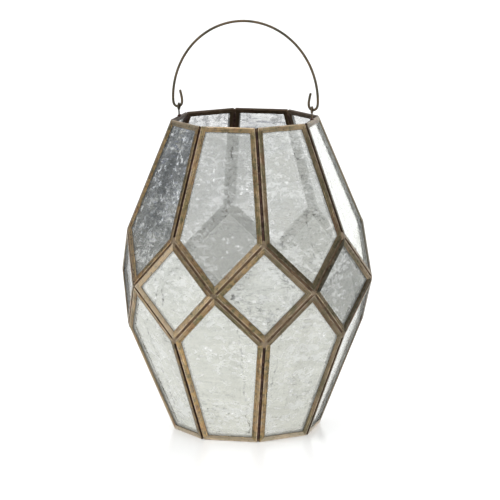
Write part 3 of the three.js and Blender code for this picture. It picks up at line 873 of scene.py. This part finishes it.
# ------------------------------------------------------------------------------------------------
# wire work
# ------------------------------------------------------------------------------------------------
def spline(points, steps):
    """Centripetal curve through the points, evenly spaced."""
    pts = [Vector(p) for p in points]
    pts = [pts[0] * 2 - pts[1]] + pts + [pts[-1] * 2 - pts[-2]]
    dense = []
    for i in range(1, len(pts) - 2):
        p0, p1, p2, p3 = pts[i - 1:i + 3]
        t0 = 0.0
        t1 = t0 + (p1 - p0).length ** 0.5
        t2 = t1 + (p2 - p1).length ** 0.5
        t3 = t2 + (p3 - p2).length ** 0.5
        for j in range(24):
            t = t1 + (t2 - t1) * j / 24
            a1 = p0 * ((t1 - t) / (t1 - t0)) + p1 * ((t - t0) / (t1 - t0))
            a2 = p1 * ((t2 - t) / (t2 - t1)) + p2 * ((t - t1) / (t2 - t1))
            a3 = p2 * ((t3 - t) / (t3 - t2)) + p3 * ((t - t2) / (t3 - t2))
            b1 = a1 * ((t2 - t) / (t2 - t0)) + a2 * ((t - t0) / (t2 - t0))
            b2 = a2 * ((t3 - t) / (t3 - t1)) + a3 * ((t - t1) / (t3 - t1))
            dense.append(b1 * ((t2 - t) / (t2 - t1)) + b2 * ((t - t1) / (t2 - t1)))
    dense.append(pts[-2])
    total = [0.0]
    for a, b in zip(dense, dense[1:]):
        total.append(total[-1] + (b - a).length)
    out, j = [], 0
    for i in range(steps + 1):
        want = total[-1] * i / steps
        while j < len(total) - 2 and total[j + 1] < want:
            j += 1
        f = (want - total[j]) / max(1e-9, total[j + 1] - total[j])
        out.append(dense[j].lerp(dense[j + 1], min(1.0, f)))
    return out


def sweep(bm, path, radius, side_axis, sides=16, seed=0.0, uneven=0.03, round_ends=True):
    """A round wire along path, whose points lie square to side_axis."""
    rings_ = []
    n = len(path)
    tangents = [(path[min(i + 1, n - 1)] - path[max(i - 1, 0)]).normalized() for i in range(n)]

    def add(at, tangent, r):
        up = side_axis.cross(tangent).normalized()
        line = []
        for j in range(sides):
            a = 2 * math.pi * j / sides
            d = up * math.cos(a) + side_axis * math.sin(a)
            dent = 1 - uneven * (0.5 + 0.5 * fbm(at + d * radius, 0.35, 2, seed))
            line.append(bm.verts.new(at + d * (r * dent)))
        rings_.append(line)

    if round_ends:
        for a in (80, 55, 30):
            add(path[0] + tangents[0] * (radius * (1 - math.sin(math.radians(a)))), tangents[0], radius * math.cos(math.radians(a)))
    for i in range(n):
        if round_ends and (i == 0 or i == n - 1):
            continue
        if round_ends and ((path[i] - path[0]).length < radius or (path[i] - path[-1]).length < radius):
            continue
        add(path[i], tangents[i], radius)
    if round_ends:
        for a in (30, 55, 80):
            add(path[-1] - tangents[-1] * (radius * (1 - math.sin(math.radians(a)))), tangents[-1], radius * math.cos(math.radians(a)))
    for a, b in zip(rings_, rings_[1:]):
        for j in range(sides):
            jj = (j + 1) % sides
            bm.faces.new((a[j], a[jj], b[jj], b[j]))
    bm.faces.new(list(reversed(rings_[0])))
    bm.faces.new(rings_[-1])


def build_eyelet(side, name, node):
    """An eye pin: the wire goes up from its solder, once round the eye, and closes on its own shank."""
    bm = bmesh.new()
    r = 3.2
    foot_z = HEIGHT - 0.4
    pts = [Vector((PIVOT_X, 0, foot_z)), Vector((PIVOT_X, 0.03, foot_z + 2.0)), Vector((PIVOT_X, 0.10, foot_z + 4.2))]
    path = spline(pts, 10)
    turn = []
    for i in range(49):
        a = math.radians(-84 + 340 * i / 48)
        turn.append(Vector((PIVOT_X + 0.10 * math.sin(math.pi * i / 48), r * math.cos(a), PIVOT_Z + r * math.sin(a))))
    sweep(bm, path + turn[1:], 0.86, Vector((1, 0, 0)), 14, 3.0 if side > 0 else 8.0, 0.05)
    lean = Vector((math.sin(TILT), 0, math.cos(TILT)))
    foot = bmesh.new()
    drop(foot, Vector((PIVOT_X - 0.35, 0, HEIGHT + 0.15)), lean, Vector((0, 1, 0)), (3.1, 2.0, 1.25), 31 if side > 0 else 37)
    for part in (bm, foot):
        if side < 0:
            bmesh.ops.rotate(part, cent=(0, 0, 0), matrix=Matrix.Rotation(math.pi, 3, "Z"), verts=part.verts)
    piece(finish_mesh(name + "_solder", foot, SOLDER_DARK, 60, False), "shell", "channel_brass")
    return piece(finish_mesh(name, bm, WIRE, 60), "shell", "wire_brass", node)


build_eyelet(1, "eye_pin_right", "eyelet_right")
build_eyelet(-1, "eye_pin_left", "eyelet_left")

HOOK = [
    (66.9, 17.0), (65.9, 13.2), (65.1, 9.4), (64.75, 6.0), (65.15, 3.1), (66.7, 0.9), (69.1, 0.0),
    (71.5, 0.75), (73.1, 2.6), (73.75, 5.2),
]
outline = list(HOOK)
for i in range(37):
    t = math.pi * i / 36
    outline.append((74.0 * math.cos(t), 8.5 + 78.3 * math.sin(t)))
outline += [(-x, z) for x, z in reversed(HOOK)]
bail_path = spline([(x, 0, PIVOT_Z + z) for x, z in outline], 420)
bail_bm = bmesh.new()
sweep(bail_bm, bail_path, 1.295, Vector((0, 1, 0)), 18, 12.0, 0.035)
piece(finish_mesh("bail_wire", bail_bm, WIRE, 60), "bail", "wire_brass", "bail_handle")


# ------------------------------------------------------------------------------------------------
# floor, lamps and world
# ------------------------------------------------------------------------------------------------
fl = bpy.data.meshes.new("floor")
S = 14.0
fl.from_pydata([(-S, -S, 0), (S, -S, 0), (S, S, 0), (-S, S, 0)], [], [(0, 1, 2, 3)])
fl.materials.append(make_floor())
floor = bpy.data.objects.new("floor", fl)
scene.collection.objects.link(floor)
floor.visible_glossy = False

area("key", (-1.7, -2.0, 2.3), (0, 0, 0.18), (1.5, 1.5), 30)
area("fill", (2.4, -1.5, 1.9), (0, 0, 0.18), (1.5, 1.5), 12)

world = bpy.data.worlds.new("studio")
scene.world = world
world.use_nodes = True
wt = world.node_tree
wt.nodes.clear()
w_out = wt.nodes.new("ShaderNodeOutputWorld")
w_mix = wt.nodes.new("ShaderNodeMixShader")
w_path = wt.nodes.new("ShaderNodeLightPath")
w_plain = wt.nodes.new("ShaderNodeBackground")
w_plain.inputs["Color"].default_value = (1, 1, 1, 1)
w_plain.inputs["Strength"].default_value = 1.0
w_room = wt.nodes.new("ShaderNodeBackground")
w_co = wt.nodes.new("ShaderNodeTexCoord")


def w_math(op, a, b=0.0, clamp=False):
    m = wt.nodes.new("ShaderNodeMath")
    m.operation = op
    m.use_clamp = clamp
    for socket, v in zip(m.inputs, (a, b)):
        if hasattr(v, "links"):
            wt.links.new(v, socket)
        else:
            socket.default_value = v
    return m.outputs[0]


def w_card(level, at, inner, outer, value):
    """A soft round card in the room: seen towards at, full within inner degrees and gone by outer."""
    dot = wt.nodes.new("ShaderNodeVectorMath")
    dot.operation = "DOT_PRODUCT"
    wt.links.new(w_co.outputs["Generated"], dot.inputs[0])
    dot.inputs[1].default_value = Vector(at).normalized()
    m = wt.nodes.new("ShaderNodeMapRange")
    m.interpolation_type = "SMOOTHSTEP"
    wt.links.new(dot.outputs["Value"], m.inputs["Value"])
    m.inputs["From Min"].default_value = math.cos(math.radians(outer))
    m.inputs["From Max"].default_value = math.cos(math.radians(inner))
    k = m.outputs["Result"]
    return w_math("ADD", w_math("MULTIPLY", level, w_math("SUBTRACT", 1.0, k)), w_math("MULTIPLY", k, value))


level = w_math("ADD", 1.0, 0.0)
for card in ROOM:
    level = w_card(level, *card)
wt.links.new(level, w_room.inputs["Strength"])
w_room.inputs["Color"].default_value = (0.985, 0.995, 1.0, 1)
wt.links.new(w_path.outputs["Is Camera Ray"], w_mix.inputs[0])
wt.links.new(w_room.outputs[0], w_mix.inputs[1])
wt.links.new(w_plain.outputs[0], w_mix.inputs[2])
wt.links.new(w_mix.outputs[0], w_out.inputs["Surface"])
